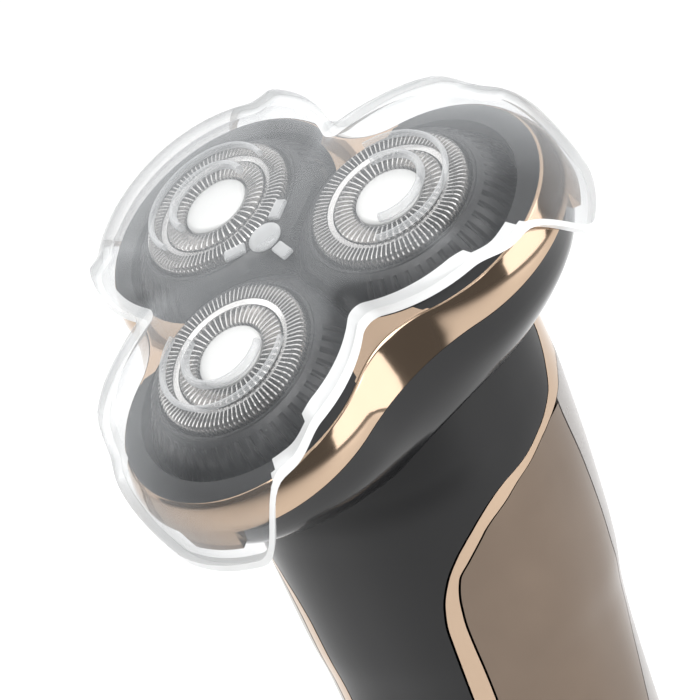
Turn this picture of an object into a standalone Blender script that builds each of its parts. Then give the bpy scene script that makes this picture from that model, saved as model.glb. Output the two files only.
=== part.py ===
"""Cordless rotary shaver: clear guard, three floating heads, drive train and tapered handle.

World frame: origin at the centre of the flat base, +Z up the handle, front toward -Y, +X to the
shaver's right. The head has its own frame: Z along the head normal, origin level with the foils.
"""
import math

import bmesh
import bpy
import numpy as np
from mathutils import Matrix, Vector

MM = 0.001
GAP = 0.3                       # clearance left between neighbouring pieces, mm

# ---- head: frame and lobes (mm, degrees) ----
HEAD_TILT = 22.0                # head normal leans toward the front
HEAD_CENTRE = (0.0, -8.7, 164.0)
LOBES = {"front": 0.0, "right": 120.0, "left": -120.0}
CUTTER_R = 16.17                # head axis to each cutter axis
CUTTER_TILT = 3.5               # cutters lean outward
FOIL_R = 10.8
FOIL_DEPTH = 3.4
TRACK_SLOTS = 18
PETAL_R = 15.3
OPENING_R = 15.8                # round openings of the trim around each petal
TRIM_TOP = -4.6
TRIM_LOW = -9.0
TRIM_TAB = 3.2                  # how far the trim drops at each lobe tip
SHELL_TOP = -9.3
NECK_H = -21.3                  # plane where head base meets the handle
CAP_T = 1.2
SKIRT_H = -14.5
GEAR_H = -15.6
GEAR_T = 1.8
GEAR_TEETH = 32
PINION_TEETH = 12
GEAR_MODULE = 2 * CUTTER_R / (GEAR_TEETH + PINION_TEETH)

# ---- handle (mm) ----
NECK_Z = 144.5                  # neck plane height on the handle axis
BLEND_Z = 124.0                 # rows above this tilt gradually into the neck plane
BASE_Z = 9.0                    # top of the base cap
WALL = 1.6
POWER = 2.0 / 2.3               # superellipse exponent of the handle section
SECTIONS = ((0, 17.0, 15.2, 0), (9, 18.0, 16.2, 0), (40, 18.6, 16.6, 0), (60, 19.2, 17.2, 0),
            (75, 20.2, 18.2, 0), (92, 20.4, 18.6, 0.4), (100, 20.8, 19.1, 0.7),
            (106, 21.6, 19.9, 1.0), (112, 22.0, 20.3, 1.1), (124, 22.4, 20.7, 1.1),
            (130, 22.4, 20.8, 1.1), (137, 21.9, 20.4, 1.1), (144.5, 21.3, 19.9, 1.1))
BIB = ((9, 27), (60, 27), (100, 26.5), (111, 27), (115, 29), (119, 34), (122, 40.5), (124, 46.5),
       (126.4, 53), (128.3, 60), (129.5, 68), (130.1, 80), (131, 88.5), (132, 95), (133, 100.5),
       (134.5, 104.5), (136, 108), (138, 110.5), (144.5, 112))
STRIP = ((9, 36), (60, 36), (100, 35.5), (111, 34.5), (115, 35.5), (118.7, 38.5), (120.9, 44.5),
         (123, 51), (125.1, 58), (126.7, 66), (128.1, 73.5), (128.9, 81.5), (129.7, 88),
         (130.4, 94.5), (130.9, 102), (131.4, 108), (132.2, 114), (133, 129), (134.5, 140),
         (144.5, 141))
SEAM = ((9, 99), (75, 101), (85, 106), (92, 111), (98, 114), (104, 112), (108.5, 109.5),
        (114, 108.8), (118.4, 107.5), (123, 106), (130, 103), (144.5, 102))
BUTTON_Z = 66.0
DISPLAY_Z = 42.0
SOCKET_Y = 8.5                  # charging socket, toward the back of the base


# ---------------------------------------------------------------- helpers
def clear_scene():
    for obj in list(bpy.data.objects):
        bpy.data.objects.remove(obj)


def hermite(table, x, column=1):
    """Smooth monotone reading of a table of (x, value...) rows."""
    xs = [row[0] for row in table]
    ys = [row[column] for row in table]
    if x <= xs[0]:
        return ys[0]
    if x >= xs[-1]:
        return ys[-1]
    slopes = [(ys[i + 1] - ys[i]) / (xs[i + 1] - xs[i]) for i in range(len(xs) - 1)]
    tangents = [slopes[0]]
    for left, right in zip(slopes, slopes[1:]):
        tangents.append(0.0 if left * right <= 0 else 2 * left * right / (left + right))
    tangents.append(slopes[-1])
    i = max(k for k in range(len(xs) - 1) if xs[k] <= x)
    step = xs[i + 1] - xs[i]
    t = (x - xs[i]) / step
    return ((2 * t**3 - 3 * t**2 + 1) * ys[i] + (t**3 - 2 * t**2 + t) * step * tangents[i]
            + (-2 * t**3 + 3 * t**2) * ys[i + 1] + (t**3 - t**2) * step * tangents[i + 1])


def material(name, colour, roughness, metallic=0.0, transmission=0.0):
    mat = bpy.data.materials.new(name)
    mat.use_nodes = True
    shader = mat.node_tree.nodes["Principled BSDF"]
    shader.inputs["Base Color"].default_value = (*colour, 1.0)
    shader.inputs["Roughness"].default_value = roughness
    shader.inputs["Metallic"].default_value = metallic
    shader.inputs["Transmission Weight"].default_value = transmission
    mat.diffuse_color = (*colour, 1.0)
    return mat


FINISHES = {
    "clear": ((0.85, 0.87, 0.88), 0.12, 0.0, 0.9),
    "gloss_black": ((0.012, 0.012, 0.014), 0.12, 0.0, 0.0),
    "matte_black": ((0.02, 0.02, 0.02), 0.5, 0.0, 0.0),
    "champagne": ((0.72, 0.60, 0.50), 0.12, 1.0, 0.0),
    "bronze": ((0.30, 0.25, 0.21), 0.25, 1.0, 0.0),
    "silver": ((0.60, 0.58, 0.56), 0.35, 0.8, 0.0),
    "foil": ((0.75, 0.75, 0.74), 0.25, 1.0, 0.0),
    "satin": ((0.82, 0.82, 0.81), 0.4, 0.9, 0.0),
    "steel": ((0.55, 0.55, 0.56), 0.3, 1.0, 0.0),
    "acetal": ((0.80, 0.79, 0.75), 0.5, 0.0, 0.0),
    "board": ((0.03, 0.16, 0.08), 0.5, 0.0, 0.0),
    "cell": ((0.06, 0.15, 0.32), 0.4, 0.0, 0.0),
    "rubber": ((0.03, 0.03, 0.03), 0.75, 0.0, 0.0),
}


def add_object(name, bm, finish, frame=None, parent=None, smooth=35.0):
    """Store a bmesh (in mm, in its own frame) as a named object placed by its frame."""
    bmesh.ops.recalc_face_normals(bm, faces=bm.faces)
    bmesh.ops.scale(bm, vec=(MM, MM, MM), verts=bm.verts)
    mesh = bpy.data.meshes.new(name)
    bm.to_mesh(mesh)
    bm.free()
    mesh.shade_smooth()
    mesh.set_sharp_from_angle(angle=math.radians(smooth))
    mesh.materials.append(material(name + "_" + finish, *FINISHES[finish]))
    obj = bpy.data.objects.new(name, mesh)
    bpy.context.scene.collection.objects.link(obj)
    place(obj, frame or Matrix.Identity(4), parent)
    return obj


def place(obj, frame, parent):
    """Put an object at a frame given in mm, under its parent."""
    world = frame.copy()
    world.translation = frame.translation * MM
    if parent is not None:
        obj.parent = parent
        obj.matrix_local = parent.matrix_world.inverted() @ world
        bpy.context.view_layer.update()
    else:
        obj.matrix_world = world
        bpy.context.view_layer.update()


def empty(name, frame, parent=None):
    obj = bpy.data.objects.new(name, None)
    obj.empty_display_size = 0.01
    bpy.context.scene.collection.objects.link(obj)
    place(obj, frame, parent)
    return obj


def quads(bm, first, second):
    """Close the band between two vertex loops of equal length."""
    count = len(first)
    for i in range(count):
        j = (i + 1) % count
        bm.faces.new((first[i], first[j], second[j], second[i]))


def loft(rings, wrap=False):
    """Skin a list of closed rings: capped at both ends, or wrapped into a tube-like ring."""
    bm = bmesh.new()
    loops = [[bm.verts.new(point) for point in ring] for ring in rings]
    for first, second in zip(loops, loops[1:]):
        quads(bm, first, second)
    if wrap:
        quads(bm, loops[-1], loops[0])
    else:
        bm.faces.new(loops[0])
        bm.faces.new(loops[-1])
    return bm


def turned(profile, sides, wrap=False):
    """Turn a profile of (radius, height) about Z; wrap joins its last point to its first."""
    rings = []
    for radius, height in profile:
        rings.append([(radius * math.sin(a), -radius * math.cos(a), height)
                      for a in (2 * math.pi * i / sides for i in range(sides))])
    return loft(rings, wrap)


def box(size, centre=(0, 0, 0), bevel=0.0):
    bm = bmesh.new()
    bmesh.ops.create_cube(bm, size=1.0)
    bmesh.ops.scale(bm, vec=size, verts=bm.verts)
    bmesh.ops.translate(bm, vec=centre, verts=bm.verts)
    if bevel:
        bmesh.ops.bevel(bm, geom=bm.edges[:], offset=bevel, segments=1, affect="EDGES", profile=0.5)
    return bm


def cut(obj, name, bm, frame=None):
    """Take a solid away from an object."""
    tool = add_object(name, bm, "steel", frame)
    tool.hide_render = True
    tool.display_type = "WIRE"
    mod = obj.modifiers.new(name, "BOOLEAN")
    mod.operation = "DIFFERENCE"
    mod.solver = "EXACT"
    mod.object = tool
    return tool


# ---------------------------------------------------------------- frames
def head_frame():
    return Matrix.Translation(HEAD_CENTRE) @ Matrix.Rotation(math.radians(HEAD_TILT), 4, "X")


def lobe_direction(angle):
    """Unit vector toward a lobe in the head frame; 0 degrees is the front."""
    a = math.radians(angle)
    return Vector((math.sin(a), -math.cos(a), 0.0))


def cutter_frame(angle, height=0.0):
    """Frame at a cutter's centre: Z along its own axis, -Y pointing outward."""
    turn = Matrix.Rotation(math.radians(angle), 4, "Z")
    lean = Matrix.Rotation(math.radians(CUTTER_TILT), 4, "X")
    spot = Matrix.Translation((0, -CUTTER_R, 0))
    return head_frame() @ turn @ spot @ lean @ Matrix.Translation((0, 0, height))


# ---------------------------------------------------------------- three-lobed outlines
def lobe_radius(angle, tip, valley, centre):
    """Radius of a rounded three-lobed outline at an angle: lobe arcs joined by hollow fillets."""
    arc = tip - centre
    fillet = (centre**2 + valley**2 - centre * valley - arc**2) / (2 * arc + centre - 2 * valley)
    fold = abs((angle + 60.0) % 120.0 - 60.0)
    a = math.radians(fold)
    far = valley + fillet
    fx, fy = far * math.sin(math.pi / 3), far * math.cos(math.pi / 3)
    touch = math.atan2(fx * arc, centre * fillet + fy * arc)
    if a <= touch:
        return centre * math.cos(a) + math.sqrt(arc**2 - (centre * math.sin(a))**2)
    b = math.pi / 3 - a
    return far * math.cos(b) - math.sqrt(max(fillet**2 - (far * math.sin(b))**2, 0.0))


def lobed_ring(angles, tip, valley, centre, height):
    """Ring of points on a three-lobed outline; the height may be a function of the angle."""
    ring = []
    for angle in angles:
        r = lobe_radius(angle, tip, valley, centre)
        h = height(angle) if callable(height) else height
        ring.append((r * math.sin(math.radians(angle)), -r * math.cos(math.radians(angle)), h))
    return ring


def lobe_angles(step=5.0, extra=()):
    """Angles round the head, with extra ones repeated at every lobe."""
    fine = {i * step for i in range(int(120 / step))}
    fine |= {e % 120.0 for e in extra} | {(-e) % 120.0 for e in extra}
    return [k * 120.0 + a for k in range(3) for a in sorted(fine)]


def tab_height(level, drop, half=6.0):
    """Height that steps down by drop within a half angle of each lobe tip."""
    def height(angle):
        fold = abs((angle + 60.0) % 120.0 - 60.0)
        return level - drop if fold <= half else level
    return height


# ---------------------------------------------------------------- clear guard
CAP_ANGLES = lobe_angles(10.0, (9, 12.5, 16, 19.5, 23, 27.5, 32.5, 35))
CAP_EDGE = 1.6
CAP_TIP = ((0.35, 2.5), (0.62, 2.1), (0.80, 1.3), (0.91, 0.0), (1.0, -2.2))
CAP_VALLEY = (2.5, 2.3, 2.0, 1.2, 0.0)
CAP_TOP = 2.6


def lobe_share(angle, full, none):
    """Smooth share at an angle: 1 within full degrees of a lobe tip, 0 past none degrees."""
    fold = abs((angle + 60.0) % 120.0 - 60.0)
    t = min(max((fold - full) / (none - full), 0.0), 1.0)
    return 1.0 - t * t * (3 - 2 * t)


def cap_surface(inset):
    """Rings of the guard's skin from the centre out and down the skirts; inset gives its inside."""
    rings = []
    for (share, tip_h), valley_h in zip(CAP_TIP, CAP_VALLEY):
        ring = []
        for angle in CAP_ANGLES:
            lobe = lobe_share(angle, 25.0, 35.0)
            r = (lobe_radius(angle, 36.4, 20.9, 17.7) - inset * share) * share
            h = tip_h * lobe + valley_h * (1 - lobe) - inset
            ring.append((r * math.sin(math.radians(angle)), -r * math.cos(math.radians(angle)), h))
        rings.append(ring)
    for depth, swell in ((0.14, 0.8), (0.34, 1.0), (1.0, 1.05)):
        ring = []
        for angle in CAP_ANGLES:
            lobe, skirt = lobe_share(angle, 25.0, 35.0), lobe_share(angle, 9.0, 23.0)
            hug = lobe_share(angle, 19.0, 25.0)
            short = lobe_radius(angle, 36.4, 20.9, 17.7) + 0.4 * depth
            full = lobe_radius(angle, 36.9, 25.4, 17.9) + GAP + CAP_T + 0.1
            full = short + (full - short) * swell
            r = full * hug + short * (1 - hug) - inset
            rim = CAP_TIP[-1][1] * lobe + CAP_VALLEY[-1] * (1 - lobe)
            start = rim - inset * (1 - depth)
            end = SKIRT_H * skirt + (rim - CAP_EDGE) * (1 - skirt)
            ring.append((r * math.sin(math.radians(angle)), -r * math.cos(math.radians(angle)),
                         start + (end - start) * depth))
        rings.append(ring)
    return rings


def clear_cap(parent):
    """Thin clear guard: domed top and three deep skirts over the lobe tips."""
    outer, inner = cap_surface(0.0), cap_surface(CAP_T)
    bm = bmesh.new()
    loops = [[bm.verts.new(p) for p in ring] for ring in outer + inner[::-1]]
    for first, second in zip(loops, loops[1:]):
        quads(bm, first, second)
    for loop, height in ((loops[0], CAP_TOP), (loops[-1], CAP_TOP - CAP_T)):
        pole = bm.verts.new((0, 0, height))
        for i, vert in enumerate(loop):
            bm.faces.new((vert, loop[(i + 1) % len(loop)], pole))
    return add_object("clear_cap", bm, "clear", head_frame(), parent, 30)


# ---------------------------------------------------------------- trim and head frame
TRIM_ANGLES = lobe_angles(7.5, (6, 6.4))


def head_trim(parent):
    """Chromed three-lobed band with round openings and a short tab at each lobe tip."""
    rings = [lobed_ring(TRIM_ANGLES, 36.9, 25.4, 17.9, tab_height(TRIM_LOW, TRIM_TAB)),
             lobed_ring(TRIM_ANGLES, 36.7, 24.2, 17.8, -7.2),
             lobed_ring(TRIM_ANGLES, 35.3, 21.9, 17.7, TRIM_TOP),
             lobed_ring(TRIM_ANGLES, CUTTER_R + OPENING_R, 16.0, CUTTER_R, TRIM_TOP),
             lobed_ring(TRIM_ANGLES, CUTTER_R + OPENING_R, 16.0, CUTTER_R, -7.0),
             lobed_ring(TRIM_ANGLES, 34.6, 21.0, 17.6, -8.0),
             lobed_ring(TRIM_ANGLES, 35.1, 23.6, 17.6, tab_height(TRIM_LOW, TRIM_TAB))]
    return add_object("head_trim", loft(rings, wrap=True), "champagne", head_frame(), parent)


def frame_plate(parent):
    """Dark plate under the petals, seated in the trim, with three holes for the cutters."""
    angles = lobe_angles(10.0)
    rings = [lobed_ring(angles, 33.6, 20.2, 17.5, -9.8), lobed_ring(angles, 33.6, 20.2, 17.5, -8.6)]
    plate = add_object("frame_plate", loft(rings), "matte_black", head_frame(), parent)
    for name, angle in LOBES.items():
        cut(plate, "plate_hole_" + name, turned(((9.0, -13.0), (9.0, -5.0)), 20),
            head_frame() @ Matrix.Translation(lobe_direction(angle) * CUTTER_R))
    return plate


def retainer(parent):
    """Three-armed retaining plate under the frame plate, with a finger hub in the middle."""
    rings = []
    for height, hub in ((-11.3, 1.0), (-10.0, 1.0)):
        rings.append([((4.4 if i % 4 else 6.8) * hub * math.sin(a), -(4.4 if i % 4 else 6.8) * hub
                       * math.cos(a), height)
                      for i, a in ((i, 2 * math.pi * (i + 2) / 12) for i in range(12))])
    return add_object("retainer", loft(rings), "acetal", head_frame(), parent)


# ---------------------------------------------------------------- floating cutter units
def petal(name, angle, parent):
    """Black floating holder round one cutter: sloped flank, clipped flat toward its neighbours."""
    sides = 32
    clip = CUTTER_R * math.sin(math.pi / 3) - 0.8

    def ring(radius, height):
        points = []
        for i in range(sides):
            a = 2 * math.pi * i / sides
            r = radius
            for side in (-1, 1):
                facing = math.cos(a + side * math.radians(150.0))
                if facing > 1e-6:
                    r = min(r, clip / facing)
            points.append((r * math.sin(a), -r * math.cos(a), height))
        return points

    rings = [ring(PETAL_R, -7.2), ring(PETAL_R, -5.2), ring(14.2, -2.6), ring(12.4, -1.3),
             ring(FOIL_R + GAP, -1.1), ring(FOIL_R + GAP, -4.0), ring(10.0, -4.2), ring(10.0, -7.2)]
    return add_object("petal_" + name, loft(rings, wrap=True), "gloss_black",
                      cutter_frame(angle), parent)


def foil(name, angle, parent):
    """Slotted steel foil: outer track of notches over the rim, groove, inner track, turned wall."""
    stations = 2 * TRACK_SLOTS
    rim = ((FOIL_R, -FOIL_DEPTH, 0), (FOIL_R, -0.9, 0.4), (FOIL_R - 0.5, 0.0, 0.7),
           (8.5, -0.05, 0.7), (7.9, -0.35, 0.0), (7.3, -0.05, 0.3), (5.2, -0.1, 0.3),
           (5.0, -1.3, 0.0), (10.0, -1.3, 0.0), (10.1, -FOIL_DEPTH, 0))
    rings = []
    for radius, height, depth in rim:
        ring = []
        for i in range(stations):
            a = 2 * math.pi * i / stations
            ring.append((radius * math.sin(a), -radius * math.cos(a), height - depth * (i % 2)))
        rings.append(ring)
    return add_object("foil_" + name, loft(rings, wrap=True), "foil", cutter_frame(angle), parent, 25)


def centre_disc(name, angle, parent):
    """Satin disc closing the middle of the foil, on a short stem."""
    profile = ((2.0, -1.3), (4.3, -1.0), (4.6, -0.5), (4.5, 0.0), (4.0, 0.25))
    return add_object("centre_disc_" + name, turned(profile, 24), "satin", cutter_frame(angle), parent)


def rotor(name, angle, parent):
    """Inner cutter: nine lamellae on a steel carrier with a plastic-like hub."""
    blades = 9
    ring = []
    for i in range(blades):
        for offset, radius in ((-9.0, 5.6), (-5.0, 9.4), (5.0, 9.4), (9.0, 5.6)):
            a = math.radians(360.0 * i / blades + offset)
            ring.append((radius * math.sin(a), -radius * math.cos(a)))
    rings = [[(x, y, -2.9) for x, y in ring], [(x, y, -1.7) for x, y in ring]]
    hub = [[(x * 2.6 / math.hypot(x, y), y * 2.6 / math.hypot(x, y), h) for x, y in ring]
           for h in (-5.6, -2.95)]
    return add_object("rotor_" + name, loft(hub + rings), "steel", cutter_frame(angle), parent)


# ---------------------------------------------------------------- drive train
def gear_bm(teeth, module, bottom, top):
    """Spur gear with trapezoid teeth."""
    pitch = teeth * module / 2
    tooth = 360.0 / teeth
    outline = []
    for i in range(teeth):
        for offset, radius in ((-0.38, pitch - 1.15 * module), (-0.13, pitch + 0.85 * module),
                               (0.13, pitch + 0.85 * module), (0.38, pitch - 1.15 * module)):
            a = math.radians((i + offset) * tooth)
            outline.append((radius * math.sin(a), -radius * math.cos(a)))
    return loft([[(x, y, height) for x, y in outline] for height in (bottom, top)])


def drive_train(root):
    """Three gears round a pinion, their spindles and springs, and the motor below."""
    frame = head_frame()
    for name, angle in LOBES.items():
        spot = frame @ Matrix.Translation(lobe_direction(angle) * CUTTER_R)
        axis = empty("axis_gear_" + name, spot, root)
        phase = Matrix.Rotation(math.radians(angle), 4, "Z")
        add_object("gear_" + name, gear_bm(GEAR_TEETH, GEAR_MODULE, GEAR_H - GEAR_T, GEAR_H),
                   "acetal", spot @ phase, axis)
        add_object("spindle_" + name,
                   turned(((1.2, GEAR_H + GAP), (1.2, -11.2), (0.9, -6.4)), 12), "steel", spot, axis)
        spring(name, spot, axis)
    shaft = empty("axis_pinion", frame, root)
    half = Matrix.Rotation(math.pi / PINION_TEETH, 4, "Z")
    add_object("pinion", gear_bm(PINION_TEETH, GEAR_MODULE, GEAR_H - GEAR_T, GEAR_H), "steel",
               frame @ half, shaft)
    add_object("motor_shaft", turned(((1.0, -22.0), (1.0, GEAR_H - GEAR_T - GAP)), 12), "steel", frame, shaft)
    can = ((8.4, -41.0), (8.6, -40.6), (8.6, -22.0), (8.2, -21.6), (3.2, -21.4), (3.2, -20.4),
           (1.4, -20.4), (1.4, -22.6), (2.0, -23.4), (2.0, -41.0))
    add_object("motor_can", turned(can, 20, wrap=True), "steel", frame, root)


def spring(name, spot, parent):
    """Compression spring round a spindle, swept as one closed wire."""
    turns, start, end, radius, wire = 3.5, GEAR_H + 0.4, -12.0, 2.0, 0.22
    count = int(turns * 9)
    rings = []
    for i in range(count + 1):
        a = 2 * math.pi * turns * i / count
        centre = Vector((radius * math.sin(a), -radius * math.cos(a), start + (end - start) * i / count))
        out = Vector((math.sin(a), -math.cos(a), 0))
        ring = []
        for k in range(4):
            b = 2 * math.pi * k / 4
            ring.append(centre + out * wire * math.cos(b) + Vector((0, 0, wire * math.sin(b))))
        rings.append(ring)
    return add_object("spring_" + name, loft(rings), "steel", spot, parent, 60)


# ---------------------------------------------------------------- head base
def neck_point(angle, inset=0.0):
    """Point of the handle's top outline, in the head frame."""
    return head_frame().inverted() @ Vector(handle_point(angle, NECK_Z, inset))


def head_base(root):
    """Glossy lower shell of the head, sweeping from the three lobes down to the round neck."""
    angles = TRIM_ANGLES
    drop = tab_height(SHELL_TOP, TRIM_TAB)
    levels = ((-14.0, 0.10), (-17.9, 0.33), (-20.0, 0.52))

    def ring(inset, height, share, edge=None):
        points = []
        for angle in angles:
            r = lobe_radius(angle, 36.6, 25.1, 17.8) - inset
            neck = neck_point(angle, inset)
            a = math.radians(angle)
            points.append((r * math.sin(a) * (1 - share) + neck.x * share,
                           -r * math.cos(a) * (1 - share) + neck.y * share,
                           edge(angle) if edge else height))
        return points

    outer = [ring(0.0, 0, 0, drop)] + [ring(0.0, h, s) for h, s in levels]
    under = [ring(0.5, NECK_H + GAP, 1.0), ring(2.0, NECK_H + GAP, 1.0), ring(2.0, -19.5, 1.0)]
    inner = [ring(1.5, h, s) for h, s in levels[-2::-1]] + [ring(1.5, 0, 0, drop)]
    outer += under
    return add_object("head_base", loft(outer + inner, wrap=True), "gloss_black", head_frame(), root)


def drive_deck(root):
    """Floor of the hair chamber, just above the gears, with three spindle holes."""
    angles = lobe_angles(10.0)
    rings = [lobed_ring(angles, 32.4, 21.6, 17.3, -14.4), lobed_ring(angles, 32.4, 21.6, 17.3, -13.2)]
    deck = add_object("drive_deck", loft(rings), "matte_black", head_frame(), root)
    for name, angle in LOBES.items():
        cut(deck, "deck_hole_" + name, turned(((2.9, -16.0), (2.9, -12.0)), 14),
            head_frame() @ Matrix.Translation(lobe_direction(angle) * CUTTER_R))
    return deck


# ---------------------------------------------------------------- handle skin
def handle_point(angle, z, inset=0.0):
    """Point on the handle's skin; rows above BLEND_Z tilt gradually into the neck plane."""
    a = math.radians(angle)
    width = hermite(SECTIONS, z, 1) - inset
    depth = hermite(SECTIONS, z, 2) - inset
    c, s = math.cos(a), math.sin(a)
    x = width * math.copysign(abs(s)**POWER, s)
    y = hermite(SECTIONS, z, 3) - depth * math.copysign(abs(c)**POWER, c)
    share = min(max((z - BLEND_Z) / (NECK_Z - BLEND_Z), 0.0), 1.0)
    return (x, y, z + share * math.tan(math.radians(HEAD_TILT)) * y)


def skin(name, rows, columns, finish, parent, wall=WALL, raised=0.0):
    """Panel of the handle between two angle limits, given as rows of (z, low, high)."""
    grids = []
    for inset in (-raised, wall - raised):
        grids.append([[handle_point(low + (high - low) * k / columns, z, inset)
                       for k in range(columns + 1)] for z, low, high in rows])
    bm = bmesh.new()
    loops = []
    for outer, inner in zip(*grids):
        loops.append([bm.verts.new(p) for p in outer + inner[::-1]])
    for first, second in zip(loops, loops[1:]):
        quads(bm, first, second)
    for loop in (loops[0], loops[-1]):
        last = len(loop) - 1
        for k in range(columns):
            bm.faces.new((loop[k], loop[k + 1], loop[last - k - 1], loop[last - k]))
    return add_object(name, bm, finish, None, parent)


def bib_edge(z):
    return hermite(BIB, z)


def strip_edge(z):
    return hermite(STRIP, z)


ROWS = (BASE_Z + GAP, 40, 60, 75, 85, 92, 100, 106, 111, 115, 119, 121.8, 124, 126, 127.6, 128.8,
        129.6, 130.4, 131, 131.8, 133, 134.5, 137, 140)
TOP_ROW = NECK_Z - 0.2


def handle_skin(root):
    """Front bib, champagne strips, side panels and back shell."""
    skew = 0.8                  # degrees of gap on each side of a joint
    rows = ROWS + (TOP_ROW,)
    front = skin("front_panel", [(z, -bib_edge(z) + skew, bib_edge(z) - skew) for z in rows], 10,
                 "gloss_black", root)
    for side, sign in (("right", 1), ("left", -1)):
        strip = [(z, bib_edge(z), strip_edge(z)) for z in rows]
        panel = [(z, strip_edge(z) + skew, hermite(SEAM, z)) for z in rows
                 if strip_edge(z) + 3 * skew < hermite(SEAM, z)]
        for kind, band, finish, count in (("trim_strip_", strip, "champagne", 2),
                                          ("side_panel_", panel, "bronze", 5)):
            limits = [(z, *sorted((sign * low, sign * high))) for z, low, high in band]
            skin(kind + side, limits, count, finish, root)
    back = []
    for z in rows:
        low = max(hermite(SEAM, z), strip_edge(z)) + skew
        back.append((z, low, 360.0 - low))
    skin("back_shell", back, 10, "silver", root)
    return front


def handle_inside(root):
    """Chassis, cell, circuit board, neck ring and the pieces at the base."""
    add_object("chassis", box((24, 1.6, 96), (0, -2.4, 64)), "matte_black", None, root)
    add_object("battery_cell", turned(((6.9, 24.0), (7.1, 24.3), (7.1, 88.6), (6.9, 88.9)), 24),
               "cell", Matrix.Translation((0, 6.4, 0)), root)
    add_object("circuit_board", box((22, 1.2, 74), (0, -9.6, 54)), "board", None, root)
    rings = []
    for z, inset in ((NECK_Z - 5.0, 2.5), (NECK_Z - 0.4, 2.5), (NECK_Z - 0.4, 4.2), (NECK_Z - 5.0, 4.2)):
        rings.append([handle_point(a, z, inset) for a in range(0, 360, 12)])
    add_object("neck_ring", loft(rings, wrap=True), "matte_black", None, root)


def base_parts(root):
    """Base cap with its rest face, the seal above it and the charging socket."""
    around = range(0, 360, 12)
    rings = [[handle_point(a, z, inset) for a in around]
             for z, inset in ((0, 1.4), (0.8, 0.3), (BASE_Z, 0.0), (BASE_Z, 1.6), (2.6, 1.9))]
    cap = add_object("base_cap", loft(rings), "gloss_black", None, root)
    cut(cap, "socket_cut", box((9.6, 3.8, 8), (0, SOCKET_Y, 0)))
    socket = [[(x * 4.45, SOCKET_Y + y * 1.6, z) for x, y in rounded_slot()] for z in (0.3, 6.4)]
    hollow = [[(x * 4.05, SOCKET_Y + y * 1.2, z) for x, y in rounded_slot()] for z in (5.6, 0.3)]
    add_object("charge_socket", loft(hollow + socket), "steel", None, root)
    seal = [[handle_point(a, z, inset) for a in around]
            for z, inset in ((BASE_Z - 2.0, 1.95), (BASE_Z + 2.0, 1.95), (BASE_Z + 2.0, 3.0),
                             (BASE_Z - 2.0, 3.0))]
    add_object("base_seal", loft(seal, wrap=True), "rubber", None, root)


def rounded_slot():
    """Unit outline with rounded ends, long axis X."""
    return [(math.copysign(abs(math.sin(a))**0.6, math.sin(a)),
             math.copysign(abs(math.cos(a))**0.6, math.cos(a)))
            for a in (2 * math.pi * (i + 0.5) / 20 for i in range(20))]


def controls(root, front):
    """Power button in its ring and the display window, let into the front panel."""
    y = handle_point(0, BUTTON_Z)[1]
    seat = Matrix.Translation((0, y, BUTTON_Z)) @ Matrix.Rotation(math.radians(90), 4, "X")
    cut(front, "button_hole", turned(((6.4, -4.0), (6.4, 4.0)), 32), seat)
    ring = ((6.1, -2.2), (6.1, 0.5), (5.2, 0.7), (5.2, -2.2))
    add_object("button_ring", turned(ring, 32, wrap=True), "champagne", seat, root)
    push = empty("axis_button", seat, root)
    add_object("power_button", turned(((4.9, -3.0), (4.9, 0.6), (4.4, 0.9)), 28), "gloss_black",
               seat, push)
    y = handle_point(0, DISPLAY_Z)[1]
    seat = Matrix.Translation((0, y, DISPLAY_Z))
    cut(front, "display_hole", box((10.6, 8, 20.6)), seat)
    add_object("display_window", box((10, 1.4, 20), (0, 1.3, 0), 0.4), "gloss_black", seat, root)


# ---------------------------------------------------------------- pop-up trimmer
TRIMMER_HINGE = (0.0, 19.7, 76.0)
COMB_Y = 22.1


def trimmer(root):
    """Pop-up trimmer on the back: pivoting cover, comb, sliding blade and hinge pin."""
    rows = [(z, 180 - 24.0, 180 + 24.0) for z in (79.5, 85, 92, 99, 104)]
    flip = empty("axis_trimmer", Matrix.Translation(TRIMMER_HINGE), root)
    skin("trimmer_cover", rows, 6, "silver", flip, wall=1.5, raised=2.0)
    add_object("trimmer_comb", box((14.5, 1.0, 3.0), (0, COMB_Y, 106.2)), "steel", None, flip)
    slide = empty("axis_blade", Matrix.Translation((0, COMB_Y + 1.2, 106.2)), flip)
    add_object("trimmer_blade", box((13.0, 0.8, 2.6), (0, COMB_Y + 1.2, 106.0)), "steel", None, slide)
    pin = Matrix.Translation(TRIMMER_HINGE) @ Matrix.Rotation(math.radians(90), 4, "Y")
    add_object("trimmer_pin", turned(((0.9, -7.5), (0.9, 7.5)), 12), "steel", pin, root)


def main():
    clear_scene()
    root = empty("handle_root", Matrix.Identity(4))
    head = empty("axis_head", head_frame(), root)
    guard = empty("axis_cap", head_frame(), head)
    clear_cap(guard)
    head_trim(head)
    frame_plate(head)
    retainer(head)
    for name, angle in LOBES.items():
        tip = empty("axis_petal_" + name, cutter_frame(angle), head)
        petal(name, angle, tip)
        foil(name, angle, tip)
        centre_disc(name, angle, tip)
        spin = empty("axis_rotor_" + name, cutter_frame(angle), tip)
        rotor(name, angle, spin)
    head_base(root)
    drive_deck(root)
    drive_train(root)
    front = handle_skin(root)
    handle_inside(root)
    base_parts(root)
    controls(root, front)
    trimmer(root)


main()
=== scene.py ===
"""Looks of a cordless rotary shaver: clear guard, plated trim, slotted foils and glossy handle."""
import enum
import logging
import math
from collections.abc import Callable, Sequence
from dataclasses import dataclass, field

import bmesh
import bpy
from mathutils import Matrix, Vector


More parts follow.
